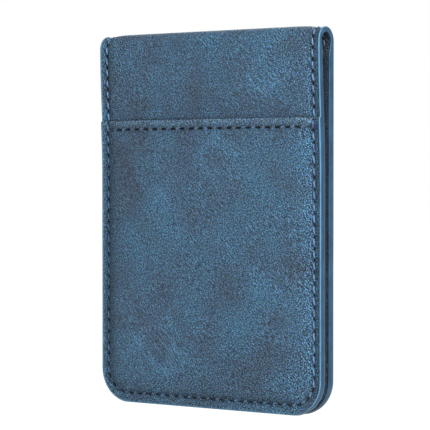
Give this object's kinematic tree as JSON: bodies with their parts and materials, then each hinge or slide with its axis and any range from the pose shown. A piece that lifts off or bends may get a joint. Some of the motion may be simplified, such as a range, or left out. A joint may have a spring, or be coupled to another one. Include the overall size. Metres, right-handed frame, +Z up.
{
  "type": "magnetic phone card holder",
  "caption": "Slim stitched leather card holder for the back of a phone: two panels folded at the top, a card pocket in front, hidden magnets to hold on to the phone and keep it shut.",
  "frame": {"origin": "centre of the back panel's outer face, which clings to the phone", "axes": "+Z up along the height towards the fold, +Y out of the back's outer face towards the phone, +X to the right seen from the front"},
  "size_m": [0.069, 0.0074, 0.0974],
  "materials": {
    "cover_leather": "waxed full grain leather, mottled blue",
    "lining_leather": "smooth dyed lining leather",
    "seam_thread": "waxed polyester thread",
    "stiffener_board": "bonded fibre board",
    "magnet_nickel": "nickel plated",
    "plate_steel": "bright rolled steel"
  },
  "bodies": {
    "back_panel": {"cover_back": "cover_leather", "lining_back": "lining_leather", "back_board": "stiffener_board", "ring_filler": "stiffener_board", "seam_back": "seam_thread", "closure_magnet_left": "magnet_nickel", "closure_magnet_right": "magnet_nickel", "ring_magnet_01": "magnet_nickel", "ring_magnet_02": "magnet_nickel", "ring_magnet_03": "magnet_nickel", "ring_magnet_04": "magnet_nickel", "ring_magnet_05": "magnet_nickel", "ring_magnet_06": "magnet_nickel", "ring_magnet_07": "magnet_nickel", "ring_magnet_08": "magnet_nickel", "ring_magnet_09": "magnet_nickel", "ring_magnet_10": "magnet_nickel", "ring_magnet_11": "magnet_nickel", "ring_magnet_12": "magnet_nickel", "ring_magnet_13": "magnet_nickel", "ring_magnet_14": "magnet_nickel", "ring_magnet_15": "magnet_nickel", "ring_magnet_16": "magnet_nickel"},
    "spine": {"cover_spine": "cover_leather", "lining_spine": "lining_leather", "seam_spine_left": "seam_thread", "seam_spine_right": "seam_thread"},
    "front_panel": {"cover_front": "cover_leather", "front_pocket": "cover_leather", "lining_front": "lining_leather", "front_board": "stiffener_board", "closure_plate_left": "plate_steel", "closure_plate_right": "plate_steel", "seam_front": "seam_thread", "seam_mouth": "seam_thread", "mouth_tack": "seam_thread"}
  },
  "joints": [
    {"name": "spine_fold", "type": "hinge", "parent": "back_panel", "child": "spine", "pos_m": [0, -0.00103, 0.04772], "axis": [-1, 0, 0], "range_deg": [0, 90]},
    {"name": "cover_fold", "type": "hinge", "parent": "spine", "child": "front_panel", "pos_m": [0, -0.00601, 0.04772], "axis": [-1, 0, 0], "range_deg": [0, 90]}
  ],
  "couplings": [
    {"joint": "spine_fold", "follows": "cover_fold", "ratio": 1}
  ]
}
